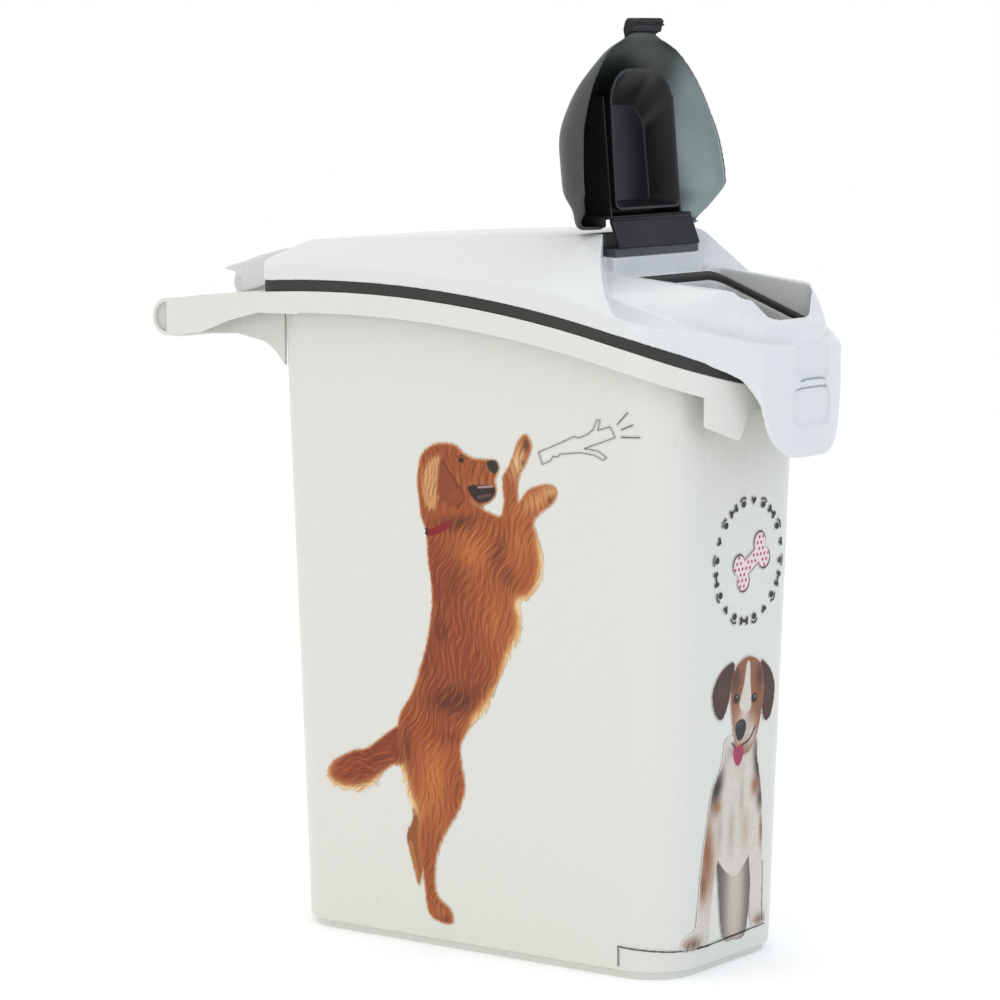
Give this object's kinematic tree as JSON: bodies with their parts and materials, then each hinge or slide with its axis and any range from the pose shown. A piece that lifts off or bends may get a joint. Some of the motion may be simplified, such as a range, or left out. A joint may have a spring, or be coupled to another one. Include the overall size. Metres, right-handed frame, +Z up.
{
  "type": "pet food bin",
  "caption": "Tall narrow dry-food bin with a carry handle, a hinged arched lid, a domed pour cap that holds a measuring cup, and sealing gaskets.",
  "frame": {"origin": "centre of the foot, on the floor", "axes": "+X towards the pouring end, +Y to the bin's left side, +Z up"},
  "size_m": [0.4972, 0.212, 0.649],
  "materials": {
    "bin_body": "gloss",
    "print_film": "gloss",
    "lid_white": "gloss",
    "seal_rubber": "matte",
    "hinge_dark": "satin",
    "cap_dark": "satin",
    "cup_dark": "satin"
  },
  "bodies": {
    "bin": {"bin_body": "bin_body", "side_print_near": "print_film", "side_print_far": "print_film", "front_print": "print_film"},
    "lid": {"lid": "lid_white", "lid_seal": "seal_rubber", "spout_seal": "seal_rubber", "cap_hinge_bracket": "hinge_dark"},
    "leaf": {"cap_hinge_leaf": "hinge_dark"},
    "cap": {"pour_cap": "cap_dark", "cap_grip": "cap_dark", "cup_cradle": "cap_dark", "measuring_cup": "cup_dark"}
  },
  "joints": [
    {"name": "lid_hinge", "type": "hinge", "parent": "bin", "child": "lid", "pos_m": [-0.254, 0, 0.438], "axis": [0, -1, 0], "range_deg": [0, 100]},
    {"name": "leaf_hinge", "type": "hinge", "parent": "lid", "child": "leaf", "pos_m": [0.1025, 0, 0.495], "axis": [0, 1, 0], "range_deg": [0, 197.2]},
    {"name": "cap_fold", "type": "hinge", "parent": "leaf", "child": "cap", "pos_m": [0.0957, 0, 0.5123], "axis": [0, 1, 0], "range_deg": [-85.18, 0]}
  ],
  "couplings": [
    {"joint": "leaf_hinge", "follows": "cap_fold", "ratio": -2.3148}
  ]
}
